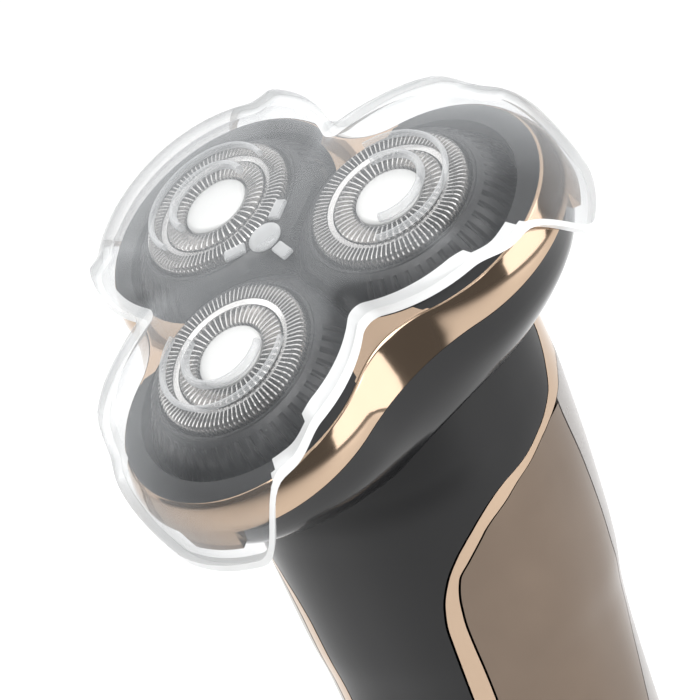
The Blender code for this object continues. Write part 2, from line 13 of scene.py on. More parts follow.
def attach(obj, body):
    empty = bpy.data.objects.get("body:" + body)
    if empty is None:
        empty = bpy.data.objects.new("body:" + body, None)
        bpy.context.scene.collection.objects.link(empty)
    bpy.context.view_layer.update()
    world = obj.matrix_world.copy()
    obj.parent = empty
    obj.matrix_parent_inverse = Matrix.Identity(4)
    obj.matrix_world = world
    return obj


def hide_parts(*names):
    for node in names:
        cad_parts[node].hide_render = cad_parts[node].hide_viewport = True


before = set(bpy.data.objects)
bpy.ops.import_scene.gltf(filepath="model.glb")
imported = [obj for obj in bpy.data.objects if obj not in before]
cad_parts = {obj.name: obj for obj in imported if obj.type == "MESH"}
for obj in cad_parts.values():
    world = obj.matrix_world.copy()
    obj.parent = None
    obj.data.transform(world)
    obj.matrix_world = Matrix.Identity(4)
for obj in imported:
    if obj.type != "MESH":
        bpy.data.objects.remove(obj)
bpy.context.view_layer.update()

LOG = logging.getLogger("shaver")
MM = 0.001
LIT_SPOT = (0, 0, 140)  # where the lights aim unless told otherwise, in mm
BROAD = 14.0  # size of the slow change in gloss over a surface, in mm

Placing = Callable[[int, int], Vector]


# ---------------------------------------------------------------- shared geometry
class Lobe(enum.Enum):
    """The three cutter units and their direction round the head, in degrees from the front."""

    FRONT = 0.0
    RIGHT = 120.0
    LEFT = -120.0

    @property
    def tag(self) -> str:
        """Lower-case name used in node and body names."""
        return self.name.lower()


def read_curve(table: Sequence[tuple[float, ...]], x: float, column: int = 1) -> float:
    """Read a table of rows smoothly, without overshoot.

    Args:
        table: Rows of (x, value, ...), rising in x.
        x: Where to read.
        column: Which value of the row to read.

    Returns:
        The value at x, held level past the table's ends.
    """
    xs = [row[0] for row in table]
    ys = [row[column] for row in table]
    if x <= xs[0]:
        return ys[0]
    if x >= xs[-1]:
        return ys[-1]
    slopes = [(ys[i + 1] - ys[i]) / (xs[i + 1] - xs[i]) for i in range(len(xs) - 1)]
    tangents = [slopes[0]]
    for left, right in zip(slopes, slopes[1:]):
        tangents.append(0.0 if left * right <= 0 else 2 * left * right / (left + right))
    tangents.append(slopes[-1])
    i = max(k for k in range(len(xs) - 1) if xs[k] <= x)
    step = xs[i + 1] - xs[i]
    t = (x - xs[i]) / step
    return ((2 * t**3 - 3 * t**2 + 1) * ys[i] + (t**3 - 2 * t**2 + t) * step * tangents[i]
            + (-2 * t**3 + 3 * t**2) * ys[i + 1] + (t**3 - t**2) * step * tangents[i + 1])


def ease(low: float, high: float, x: float) -> float:
    """Smooth step from 0 at low to 1 at high."""
    t = min(max((x - low) / (high - low), 0.0), 1.0)
    return t * t * (3 - 2 * t)


def fold(angle: float) -> float:
    """Angle from the nearest lobe's direction, 0 to 60 degrees."""
    return abs((angle + 60.0) % 120.0 - 60.0)


def polar(radius: float, turn: float, height: float) -> Vector:
    """Point at a radius and height, turned from the front by an angle in radians."""
    return Vector((radius * math.sin(turn), -radius * math.cos(turn), height))


def bearing(spot: Vector) -> float:
    """Angle of a point from the front, in degrees."""
    return math.degrees(math.atan2(spot.x, -spot.y))


@dataclass(frozen=True)
class LobedOutline:
    """Rounded three-lobed outline: an arc round each lobe, joined by hollow fillets. Sizes in mm."""

    tip: float
    valley: float
    centre: float

    def radius(self, angle: float) -> float:
        """Distance from the head's axis to the outline at an angle in degrees."""
        arc = self.tip - self.centre
        hollow = (self.centre**2 + self.valley**2 - self.centre * self.valley - arc**2) / (
            2 * arc + self.centre - 2 * self.valley)
        far = self.valley + hollow
        across, along = far * math.sin(math.pi / 3), far * math.cos(math.pi / 3)
        touch = math.atan2(across * arc, self.centre * hollow + along * arc)
        a = math.radians(fold(angle))
        if a <= touch:
            return self.centre * math.cos(a) + math.sqrt(arc**2 - (self.centre * math.sin(a))**2)
        b = math.pi / 3 - a
        return far * math.cos(b) - math.sqrt(max(hollow**2 - (far * math.sin(b))**2, 0.0))


@dataclass(frozen=True)
class HeadFrame:
    """The head's own frame: Z along its normal, -Y to the front, origin level with the foils."""

    tilt: float = 22.0
    centre: tuple[float, float, float] = (0.0, -8.7, 164.0)
    cutter_r: float = 16.17
    cutter_tilt: float = 3.5

    def matrix(self) -> Matrix:
        """Head frame in the world, in mm."""
        return Matrix.Translation(self.centre) @ Matrix.Rotation(math.radians(self.tilt), 4, "X")

    def cutter(self, lobe: Lobe) -> Matrix:
        """A cutter's frame in the world, in mm: Z along its axis, -Y outward."""
        turn = Matrix.Rotation(math.radians(lobe.value), 4, "Z")
        lean = Matrix.Rotation(math.radians(self.cutter_tilt), 4, "X")
        return self.matrix() @ turn @ Matrix.Translation((0, -self.cutter_r, 0)) @ lean

    def gear(self, lobe: Lobe) -> Matrix:
        """A drive gear's frame in the world, in mm."""
        turn = Matrix.Rotation(math.radians(lobe.value), 4, "Z")
        return self.matrix() @ turn @ Matrix.Translation((0, -self.cutter_r, 0))


HEAD = HeadFrame()


@dataclass(frozen=True)
class HandleForm:
    """Outer skin of the handle and the lines that divide its panels. Sizes in mm and degrees."""

    neck_z: float = 144.5
    blend_z: float = 124.0
    power: float = 2.0 / 2.3
    sections: tuple = ((0, 17.0, 15.2, 0), (9, 18.0, 16.2, 0), (40, 18.6, 16.6, 0),
                       (60, 19.2, 17.2, 0), (75, 20.2, 18.2, 0), (92, 20.4, 18.6, 0.4),
                       (100, 20.8, 19.1, 0.7), (106, 21.6, 19.9, 1.0), (112, 22.0, 20.3, 1.1),
                       (124, 22.4, 20.7, 1.1), (130, 22.4, 20.8, 1.1), (137, 21.9, 20.4, 1.1),
                       (144.5, 21.3, 19.9, 1.1))
    bib: tuple = ((9, 27), (60, 27), (100, 26.5), (111, 27), (115, 29), (119, 34), (122, 40.5),
                  (124, 46.5), (126.4, 53), (128.3, 60), (129.5, 68), (130.1, 80), (131, 88.5),
                  (132, 95), (133, 100.5), (134.5, 104.5), (136, 108), (138, 110.5),
                  (144.5, 112))
    strip: tuple = ((9, 36), (60, 36), (100, 35.5), (111, 34.5), (115, 35.5), (118.7, 38.5),
                    (120.9, 44.5), (123, 51), (125.1, 58), (126.7, 66), (128.1, 73.5),
                    (128.9, 81.5), (129.7, 88), (130.4, 94.5), (130.9, 102), (131.4, 108),
                    (132.2, 114), (133, 129), (134.5, 140), (144.5, 141))
    seam: tuple = ((9, 99), (75, 101), (85, 106), (92, 111), (98, 114), (104, 112),
                   (108.5, 109.5), (114, 108.8), (118.4, 107.5), (123, 106), (130, 103),
                   (144.5, 102))

    def point(self, angle: float, z: float, inset: float = 0.0) -> Vector:
        """Point of the skin, in mm.

        Args:
            angle: Degrees round the handle from the front.
            z: Nominal height; rows above blend_z tilt into the neck plane.
            inset: How far inside the skin.

        Returns:
            The point in the world, in mm.
        """
        a = math.radians(angle)
        width = read_curve(self.sections, z, 1) - inset
        depth = read_curve(self.sections, z, 2) - inset
        c, s = math.cos(a), math.sin(a)
        x = width * math.copysign(abs(s)**self.power, s)
        y = (read_curve(self.sections, z, 3)
             - depth * math.copysign(abs(c)**self.power, c))
        share = min(max((z - self.blend_z) / (self.neck_z - self.blend_z), 0.0), 1.0)
        return Vector((x, y, z + share * math.tan(math.radians(HEAD.tilt)) * y))

    def bib_edge(self, z: float) -> float:
        """Half angle of the front panel at a height."""
        return read_curve(self.bib, z)

    def strip_edge(self, z: float) -> float:
        """Outer half angle of the plated strip at a height."""
        return read_curve(self.strip, z)

    def back_edge(self, z: float) -> float:
        """Half angle at which the back shell starts."""
        return max(read_curve(self.seam, z), self.strip_edge(z))


HANDLE = HandleForm()


# ---------------------------------------------------------------- mesh helpers
def loft(rings: int, stations: int, place: Placing, wrap: bool = False, start_pole: bool = False,
         end_pole: bool = False) -> bmesh.types.BMesh:
    """Extrude a circle ring by ring and set each ring on its section.

    Args:
        rings: Number of sections.
        stations: Points round a section.
        place: Gives the point of (ring, station), in mm.
        wrap: Join the last section to the first.
        start_pole: Close the first section to its middle.
        end_pole: Close the last section to its middle.

    Returns:
        The skinned mesh, in mm.
    """
    bm = bmesh.new()
    verts = bmesh.ops.create_circle(bm, cap_ends=False, radius=1.0, segments=stations)["verts"]
    first = list(verts)
    for station, vert in enumerate(verts):
        vert.co = place(0, station)
    for ring in range(1, rings):
        fresh = extrude_ring(bm, verts)
        for station, vert in enumerate(fresh):
            vert.co = place(ring, station)
        verts = fresh
    if wrap:
        fresh = extrude_ring(bm, verts)
        bmesh.ops.weld_verts(bm, targetmap=dict(zip(fresh, first)))
    for pole, ring_verts in ((start_pole, first), (end_pole, verts)):
        if pole:
            middle = sum((v.co for v in ring_verts), Vector()) / len(ring_verts)
            tip = extrude_ring(bm, ring_verts)
            bmesh.ops.pointmerge(bm, verts=tip, merge_co=middle)
    return bm


def extrude_ring(bm: bmesh.types.BMesh, verts: Sequence[bmesh.types.BMVert]) -> list:
    """Extrude a closed ring of vertices in place.

    Args:
        bm: The mesh.
        verts: The ring, in order.

    Returns:
        The new ring, in the same order.
    """
    edges = [bm.edges.get((a, b)) for a, b in zip(verts, [*verts[1:], verts[0]])]
    made = bmesh.ops.extrude_edge_only(bm, edges=edges)
    new = {item for item in made["geom"] if isinstance(item, bmesh.types.BMVert)}
    return [next(e.other_vert(v) for e in v.link_edges if e.other_vert(v) in new) for v in verts]


def sheet(columns: int, rows: int, place: Callable[[float, float], Vector]) -> bmesh.types.BMesh:
    """Grid mapped onto a surface.

    Args:
        columns: Cells along u.
        rows: Cells along v.
        place: Gives the point at (u, v), each 0 to 1, in mm.

    Returns:
        The open patch, in mm.
    """
    bm = bmesh.new()
    bmesh.ops.create_grid(bm, x_segments=columns, y_segments=rows, size=0.5)
    for vert in bm.verts:
        vert.co = place(vert.co.x + 0.5, vert.co.y + 0.5)
    return bm


def face_outward(bm: bmesh.types.BMesh, axis: Vector) -> None:
    """Turn an open patch so that its faces point away from a vertical axis through a point."""
    bmesh.ops.recalc_face_normals(bm, faces=bm.faces)
    score = 0.0
    for face in bm.faces:
        out = face.calc_center_median() - axis
        out.z = 0
        score += face.normal.dot(out) * face.calc_area()
    if score < 0:
        bmesh.ops.reverse_faces(bm, faces=bm.faces)


def finish_piece(name: str, bm: bmesh.types.BMesh, place: Matrix, body: str, finish: "Finish",
                 stands_for: Sequence[str] = (), closed: bool = True,
                 sharp: float = 32.0) -> bpy.types.Object:
    """Store a mesh made in mm as a finished piece.

    Args:
        name: The piece's name.
        bm: Its mesh, in mm, in a frame of its own.
        place: That frame in the world, in mm.
        body: The body that it rides on.
        finish: Its finish.
        stands_for: Nodes that it replaces.
        closed: Whether the normals are worked out again here.
        sharp: Angle past which an edge is shaded sharp, in degrees.

    Returns:
        The piece's object.
    """
    if closed:
        bmesh.ops.recalc_face_normals(bm, faces=bm.faces)
    bmesh.ops.transform(bm, matrix=Matrix.Scale(MM, 4) @ place, verts=bm.verts)
    mesh = bpy.data.meshes.new(name)
    bm.to_mesh(mesh)
    bm.free()
    mesh.shade_smooth()
    mesh.set_sharp_from_angle(angle=math.radians(sharp))
    mesh.materials.append(finish.material())
    piece = bpy.data.objects.new(name, mesh)
    bpy.context.scene.collection.objects.link(piece)
    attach(piece, body)
    if stands_for:
        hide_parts(*stands_for)
    LOG.info("%s: %d faces on %s", name, len(mesh.polygons), body)
    return piece


def round_edges(piece: bpy.types.Object, width: float, segments: int = 2,
                limit: float = 40.0) -> None:
    """Put a small radius on a piece's sharp edges; width in mm."""
    mod = piece.modifiers.new("edge radius", "BEVEL")
    mod.width = width * MM
    mod.segments = segments
    mod.limit_method = "ANGLE"
    mod.angle_limit = math.radians(limit)
    mod.harden_normals = True


# ---------------------------------------------------------------- finishes
def linear(colour: str) -> tuple[float, float, float, float]:
    """Turn an sRGB hex colour into linear RGBA."""
    parts = [int(colour[i:i + 2], 16) / 255 for i in (1, 3, 5)]
    return (*[p / 12.92 if p <= 0.04045 else ((p + 0.055) / 1.055)**2.4 for p in parts], 1.0)


def add_node(tree: bpy.types.NodeTree, kind: str, inputs: dict | None = None,
             **settings: object) -> bpy.types.Node:
    """Add a shader node.

    Args:
        tree: The node tree.
        kind: The node's type.
        inputs: Socket name or number to a value, or to the socket that feeds it.
        settings: Properties of the node.

    Returns:
        The node.
    """
    node = tree.nodes.new(kind)
    for key, value in settings.items():
        setattr(node, key, value)
    for key, value in (inputs or {}).items():
        if isinstance(value, bpy.types.NodeSocket):
            tree.links.new(value, node.inputs[key])
        else:
            node.inputs[key].default_value = value
    return node


_made: dict[str, bpy.types.Material] = {}


@dataclass(frozen=True)
class Finish:
    """A finish: colours, gloss and the fine pattern of the surface it is made by.

    The pattern is a noise on Object coordinates: grain is its real size in mm, mottle how far
    the colour moves to the second colour, wear how far the roughness moves, relief the bump's
    height in mm.
    """

    name: str
    colour: str
    second: str
    roughness: float
    metallic: float = 0.0
    grain: float = 1.0
    stretch: tuple[float, float, float] = (1.0, 1.0, 1.0)
    mottle: float = 0.3
    wear: float = 0.04
    relief: float = 0.004
    coat: float = 0.0
    coat_roughness: float = 0.05
    specular: float = 0.5
    ior: float = 1.5

    def material(self) -> bpy.types.Material:
        """The finish's material, made once."""
        if self.name not in _made:
            _made[self.name] = self.build()
        return _made[self.name]

    def build(self) -> bpy.types.Material:
        """Make the material's nodes."""
        mat = bpy.data.materials.new(self.name)
        mat.use_nodes = True
        tree = mat.node_tree
        shader = tree.nodes["Principled BSDF"]
        where = add_node(tree, "ShaderNodeTexCoord").outputs["Object"]
        turned = add_node(tree, "ShaderNodeMapping", {"Vector": where, "Scale": self.stretch})
        noise = add_node(tree, "ShaderNodeTexNoise",
                         {"Vector": turned.outputs[0], "Scale": 1.0 / (self.grain * MM),
                          "Detail": 3.0, "Roughness": 0.55})
        broad = add_node(tree, "ShaderNodeTexNoise",
                         {"Vector": where, "Scale": 1.0 / (BROAD * MM), "Detail": 2.0})
        spread = add_node(tree, "ShaderNodeMath", {0: noise.outputs["Fac"], 1: self.mottle},
                          operation="MULTIPLY")
        tint = add_node(tree, "ShaderNodeMix", {"Factor": spread.outputs[0], 6: linear(self.colour),
                                                7: linear(self.second)}, data_type="RGBA")
        tree.links.new(tint.outputs[2], shader.inputs["Base Color"])
        rough = add_node(tree, "ShaderNodeMapRange",
                         {"Value": broad.outputs["Fac"], "From Min": 0.3, "From Max": 0.7,
                          "To Min": max(self.roughness - self.wear, 0.02),
                          "To Max": self.roughness + self.wear})
        tree.links.new(rough.outputs[0], shader.inputs["Roughness"])
        if self.relief:
            bump = add_node(tree, "ShaderNodeBump", {"Height": noise.outputs["Fac"],
                                                     "Distance": self.relief * MM, "Strength": 0.6})
            tree.links.new(bump.outputs[0], shader.inputs["Normal"])
        shader.inputs["Metallic"].default_value = self.metallic
        shader.inputs["Coat Weight"].default_value = self.coat
        shader.inputs["Coat Roughness"].default_value = self.coat_roughness
        shader.inputs["Specular IOR Level"].default_value = self.specular
        if not self.metallic:
            shader.inputs["IOR"].default_value = self.ior
        self.extra(mat, tree, shader)
        return mat

    def extra(self, mat: bpy.types.Material, tree: bpy.types.NodeTree,
              shader: bpy.types.Node) -> None:
        """Add what only this kind of finish has; none here."""


@dataclass(frozen=True)
class ClearFinish(Finish):
    """See-through moulded polycarbonate: more opaque where it is seen edge-on."""

    haze: float = 0.3
    edge_haze: float = 0.85

    def extra(self, mat: bpy.types.Material, tree: bpy.types.NodeTree,
              shader: bpy.types.Node) -> None:
        """Let the surface through by its facing angle and its haze."""
        facing = add_node(tree, "ShaderNodeLayerWeight", {"Blend": 0.35})
        cover = add_node(tree, "ShaderNodeMapRange",
                         {"Value": facing.outputs["Facing"], "From Min": 0.15, "From Max": 0.95,
                          "To Min": self.haze, "To Max": self.edge_haze})
        tree.links.new(cover.outputs[0], shader.inputs["Alpha"])
        mat.surface_render_method = "BLENDED"


# Injection-moulded polycarbonate: clear with a faint milky haze, bright where seen edge-on.
CLEAR = ClearFinish("clear_polycarbonate_moulded", "#AEB1B4", "#C6C9CB", 0.12, grain=2.2,
                    mottle=0.6, wear=0.05, relief=0.006, ior=1.58, haze=0.06, edge_haze=0.7)
# The same polycarbonate where a rib or a boss doubles its thickness: hazier for the thicker wall, and
# lighter as a painted highlight for the light it gathers.
CLEAR_THICK = ClearFinish("clear_polycarbonate_thick", "#D9DBDC", "#ECEDEE", 0.1, grain=2.2,
                          mottle=0.6, wear=0.04, relief=0.006, ior=1.58, haze=0.3,
                          edge_haze=0.85)
# Cut and polished rim of the same polycarbonate, painted near white: a painted highlight for the light
# that leaves at its edge.
CLEAR_RIM_HIGHLIGHT = ClearFinish("clear_polycarbonate_rim", "#F7F8F8", "#FFFFFF", 0.2, grain=3.0,
                        mottle=0.5, relief=0.0, ior=1.58, haze=0.8, edge_haze=0.97)
# Vacuum-plated ABS in champagne gold: a mirror with a warm tint.
CHAMPAGNE = Finish("champagne_plated_abs", "#B8A08A", "#C8B29C", 0.1, metallic=1.0, grain=6.0,
                   mottle=0.4, wear=0.02, relief=0.0)
# Plated ABS in dark bronze under a satin lacquer.
BRONZE = Finish("bronze_plated_abs", "#7A6B5E", "#66594E", 0.22, metallic=1.0, grain=8.0,
                mottle=0.6, wear=0.03, relief=0.0, coat=0.3, coat_roughness=0.1)
# Pearl-painted ABS: a pale grey with fine metallic flake.
PEARL = Finish("pearl_painted_abs", "#8F8A87", "#A29D99", 0.3, metallic=0.6, grain=0.35,
               mottle=0.7, wear=0.04, relief=0.002, coat=0.4, coat_roughness=0.08)
# Piano-black ABS: deep black, mirror gloss with faint handling haze.
PIANO = Finish("piano_black_abs", "#08080A", "#0E0E11", 0.09, grain=5.0, mottle=0.5, wear=0.03,
               relief=0.0, specular=0.4)
# Textured black ABS, as moulded against a spark-eroded tool.
SATIN_BLACK = Finish("satin_black_abs", "#101012", "#1B1B1E", 0.34, grain=0.5, mottle=0.5,
                     wear=0.05, relief=0.01)
# Rolled and electro-polished stainless steel of the foils.
FOIL = Finish("stainless_foil", "#EAE8E6", "#D2D0CE", 0.22, metallic=1.0, grain=0.4,
              mottle=0.5, wear=0.05, relief=0.003)
# Slot floors: the same steel, darkened with painted shade for the depth of the slots.
SLOT_PAINTED_SHADE = Finish("foil_slot_painted_shade", "#2B2927", "#3A3734", 0.5, metallic=0.7, grain=0.4,
              mottle=0.5, relief=0.0)
# Spun aluminium disc, anodised: pale satin with turning marks too fine to see singly.
DISC = Finish("spun_aluminium_disc", "#FAFAF8", "#ECEBE9", 0.38, metallic=0.3, grain=0.5,
              mottle=0.5, wear=0.05, relief=0.003)
# Turned carbon steel of shafts, pins and blades.
STEEL = Finish("turned_steel", "#B5B4B3", "#9C9B9A", 0.3, metallic=1.0, grain=0.3,
               stretch=(1.0, 1.0, 6.0), mottle=0.6, wear=0.06, relief=0.004)
# Natural acetal of gears, slightly waxy.
ACETAL = Finish("moulded_acetal", "#DDD9CC", "#CFCABB", 0.45, grain=1.5, mottle=0.5, relief=0.004)
# Solder-masked glass-fibre board.
BOARD = Finish("solder_mask_board", "#0F3D22", "#175231", 0.35, grain=0.8, mottle=0.7,
               relief=0.01)
# Shrink sleeve over a lithium cell.
CELL = Finish("cell_shrink_sleeve", "#1C3F73", "#234B86", 0.3, grain=2.0, mottle=0.5,
              relief=0.004)
# Nitrile rubber seal.
RUBBER = Finish("nitrile_rubber", "#1A1A1A", "#242424", 0.7, grain=0.4, mottle=0.5, relief=0.01)


# ---------------------------------------------------------------- head
TAB = 3.2  # how far the tab at each lobe tip hangs down, in mm
TAB_HALF = 6.0  # half its width, in degrees
TAB_RAMP = 0.6  # width of each sloping side, in degrees


def tab_drop(angle: float) -> float:
    """How far the edge hangs down at an angle for a lobe's tab, in mm."""
    return TAB * (1.0 - ease(TAB_HALF, TAB_HALF + TAB_RAMP, fold(angle)))


@dataclass
class ClearGuard:
    """Clear clip-on guard: domed top, three deep skirts, arc ribs over the cutters, a boss."""

    thickness: float = 1.2
    skirt_h: float = -14.5
    stations: int = 360
    rim: LobedOutline = LobedOutline(36.4, 20.9, 17.7)
    skirt: LobedOutline = LobedOutline(36.9, 25.4, 17.9)
    tip_curve: tuple = ((0.0, 2.6), (0.35, 2.5), (0.62, 2.1), (0.80, 1.3), (0.91, 0.0),
                        (1.0, -2.2))
    valley_curve: tuple = ((0.0, 2.6), (0.35, 2.5), (0.62, 2.3), (0.80, 2.0), (0.91, 1.2),
                           (1.0, 0.0))
    shares: tuple = (0.08, 0.18, 0.3, 0.42, 0.54, 0.64, 0.72, 0.79, 0.85, 0.9, 0.94, 0.97, 1.0)
    drops: tuple = (0.08, 0.18, 0.3, 0.43, 0.57, 0.71, 0.85, 1.0)
    band: float = 1.25
    band_drops: tuple = (0.5, 1.0)
    valley_edge: float = 1.6  # how far the edge hangs below the top in a valley
    crown_span: tuple[float, float] = (25.0, 35.0)  # angles over which each shape fades out
    skirt_span: tuple[float, float] = (9.0, 23.0)
    hug_span: tuple[float, float] = (14.0, 27.0)
    flare: float = 0.4
    rim_from: float = 15.0  # radius inside which no face is on the rim

    def crown(self, angle: float) -> float:
        """How much of the lobe's own shape the guard has at an angle."""
        return 1.0 - ease(*self.crown_span, fold(angle))

    def depth(self, angle: float) -> float:
        """Share of the full skirt depth at an angle."""
        return 1.0 - ease(*self.skirt_span, fold(angle))

    def low(self, angle: float) -> float:
        """Height of the guard's lower edge at an angle."""
        rim, d = self.top(angle, 1.0), self.depth(angle)
        return self.skirt_h * d + (rim - self.valley_edge) * (1 - d)

    def top(self, angle: float, share: float) -> float:
        """Height of the top's outside at a share of the radius."""
        d = self.crown(angle)
        return read_curve(self.tip_curve, share) * d + read_curve(self.valley_curve, share) * (1 - d)

    def point(self, ring: int, angle: float, inset: float) -> Vector:
        """Point of the outside (inset 0) or the inside of the guard, in the head frame."""
        a = math.radians(angle)
        if ring < len(self.shares):
            share = self.shares[ring]
            r = (self.rim.radius(angle) - inset * share) * share
            h = self.top(angle, share) - inset
        else:
            row = ring - len(self.shares)
            low = self.low(angle)
            start = self.top(angle, 1.0)
            if row < len(self.drops):
                h = start + (low + self.band - start) * self.drops[row]
            else:
                h = low + self.band * (1 - self.band_drops[row - len(self.drops)])
            drop = (start - h) / (start - low)
            h -= inset * (1 - drop)
            hug = 1.0 - ease(*self.hug_span, fold(angle))
            swell = 1.0 - (1.0 - drop)**3
            short = self.rim.radius(angle) + self.flare * drop
            full = short + (self.skirt.radius(angle) + self.thickness + self.flare - short) * swell
            r = full * hug + short * (1 - hug) - inset
        return polar(r, a, h)

    def shell(self) -> bpy.types.Object:
        """Build the guard's wall and paint a highlight on its rim."""
        count = len(self.shares) + len(self.drops) + len(self.band_drops)

        def place(ring: int, station: int) -> Vector:
            """Point of a ring and station, in mm."""
            angle = 360.0 * station / self.stations
            if ring < count:
                return self.point(ring, angle, 0.0)
            return self.point(2 * count - 1 - ring, angle, self.thickness)

        bm = loft(2 * count, self.stations, place, start_pole=True, end_pole=True)
        piece = finish_piece("clear_guard", bm, HEAD.matrix(), "cap", CLEAR,
                             ("clear_cap",))
        # Second slot: the near-white painted highlight for the rim.
        piece.data.materials.append(CLEAR_RIM_HIGHLIGHT.material())
        self.paint_rim_highlight(piece)
        return piece

    def paint_rim_highlight(self, piece: bpy.types.Object) -> None:
        """Paint the rim's narrow band near white, as a painted highlight."""
        inverse = HEAD.matrix().inverted()
        for face in piece.data.polygons:
            spot = inverse @ (face.center / MM)
            angle = bearing(spot)
            r = math.hypot(spot.x, spot.y)
            if spot.z - self.low(angle) < self.band - 0.02 and r > self.rim_from:
                face.material_index = 1

    def ribs(self) -> None:
        """Raised half-round ribs above each cutter."""
        for lobe in Lobe:
            for number, (radius, width) in enumerate(((5.4, 1.1), (8.8, 0.8))):
                bm = bmesh.new()
                loop = bmesh.ops.create_circle(bm, cap_ends=True, radius=width / 2, segments=12)
                spin_axis = Vector((0, 0, 1))
                bmesh.ops.rotate(bm, verts=loop["verts"], cent=(0, 0, 0),
                                 matrix=Matrix.Rotation(math.radians(90), 3, "X"))
                bmesh.ops.translate(bm, verts=loop["verts"], vec=(radius, 0, 0))
                start = Matrix.Rotation(math.radians(-190), 3, "Z")
                bmesh.ops.rotate(bm, verts=loop["verts"], cent=(0, 0, 0), matrix=start)
                bmesh.ops.spin(bm, geom=bm.faces[:], cent=(0, 0, 0), axis=spin_axis,
                               angle=math.radians(200), steps=48, use_merge=False)
                bmesh.ops.remove_doubles(bm, verts=bm.verts, dist=1e-4)
                for vert in bm.verts:
                    vert.co.z = 1.6 + vert.co.z * 1.2
                finish_piece(f"guard_rib_{lobe.tag}_{number}", bm, HEAD.cutter(lobe), "cap",
                             CLEAR_THICK)

    def boss(self) -> None:
        """Small lens at the middle with three tabs toward the valleys."""
        bm = bmesh.new()
        bmesh.ops.create_uvsphere(bm, u_segments=32, v_segments=16, radius=2.3)
        bmesh.ops.scale(bm, vec=(1, 1, 0.3), verts=bm.verts)
        bmesh.ops.translate(bm, vec=(0, 0, 2.7), verts=bm.verts)
        finish_piece("guard_boss", bm, HEAD.matrix(), "cap", CLEAR_THICK)
        for number, angle in enumerate((60.0, 180.0, 300.0)):
            bm = bmesh.new()
            bmesh.ops.create_cube(bm, size=1.0)
            bmesh.ops.scale(bm, vec=(1.7, 3.0, 0.7), verts=bm.verts)
            bmesh.ops.bevel(bm, geom=bm.edges[:], offset=0.25, segments=3, profile=0.5,
                            affect="EDGES", material=-1)
            spot = (Matrix.Rotation(math.radians(angle), 4, "Z")
                    @ Matrix.Translation((0, -4.4, 2.65)))
            finish_piece(f"guard_tab_{number}", bm, HEAD.matrix() @ spot, "cap", CLEAR_THICK)

    def build(self) -> None:
        """Build the whole guard."""
        self.shell()
        self.ribs()
        self.boss()


@dataclass
class HeadTrim:
    """Plated three-lobed band with round openings and a tab at each lobe tip."""

    stations: int = 360
    edge_h: float = -9.0
    inside_h: float = -4.75  # faces lower than this are inside the band
    deck_from: float = 46.0  # angle past which the top keeps its plating
    edge: LobedOutline = LobedOutline(34.95, 21.65, 17.7)
    opening: LobedOutline = LobedOutline(16.17 + 15.8, 16.0, 16.17)

    def low(self, angle: float) -> float:
        """Height of the lower edge."""
        return self.edge_h - tab_drop(angle)

    def build(self) -> None:
        """Build the band."""
        rings = ((LobedOutline(36.9, 25.4, 17.9), None), (LobedOutline(36.95, 25.2, 17.9), -8.7),
                 (LobedOutline(36.8, 24.6, 17.8), -7.8), (LobedOutline(36.3, 23.5, 17.8), -6.4),
                 (LobedOutline(35.7, 22.5, 17.7), -5.3), (LobedOutline(35.4, 22.1, 17.7), -4.85),
                 (LobedOutline(35.1, 21.8, 17.7), -4.62), (LobedOutline(34.8, 21.5, 17.7), -4.6),
                 (self.opening, -4.6), (LobedOutline(31.85, 15.9, 16.17), -4.9),
                 (LobedOutline(31.85, 15.9, 16.17), -7.0), (LobedOutline(34.6, 21.0, 17.6), -8.0),
                 (LobedOutline(35.1, 23.6, 17.6), None))

        def place(ring: int, station: int) -> Vector:
            """Point of a ring and station, in mm."""
            angle = 360.0 * station / self.stations
            outline, height = rings[ring]
            r = outline.radius(angle)
            a = math.radians(angle)
            return polar(r, a, self.low(angle) if height is None else height)

        bm = loft(len(rings), self.stations, place, wrap=True)
        piece = finish_piece("trim_band", bm, HEAD.matrix(), "head", CHAMPAGNE,
                             ("head_trim",), sharp=40)
        piece.data.materials.append(SATIN_BLACK.material())
        self.blacken(piece)

    def blacken(self, piece: bpy.types.Object) -> None:
        """Mask the plating off the flat top round the lobes and off the inside."""
        inverse = HEAD.matrix().inverted()
        for face in piece.data.polygons:
            spot = inverse @ (face.center / MM)
            angle = bearing(spot)
            inside = math.hypot(spot.x, spot.y) < self.edge.radius(angle)
            if inside and (fold(angle) < self.deck_from or spot.z < self.inside_h):
                face.material_index = 1


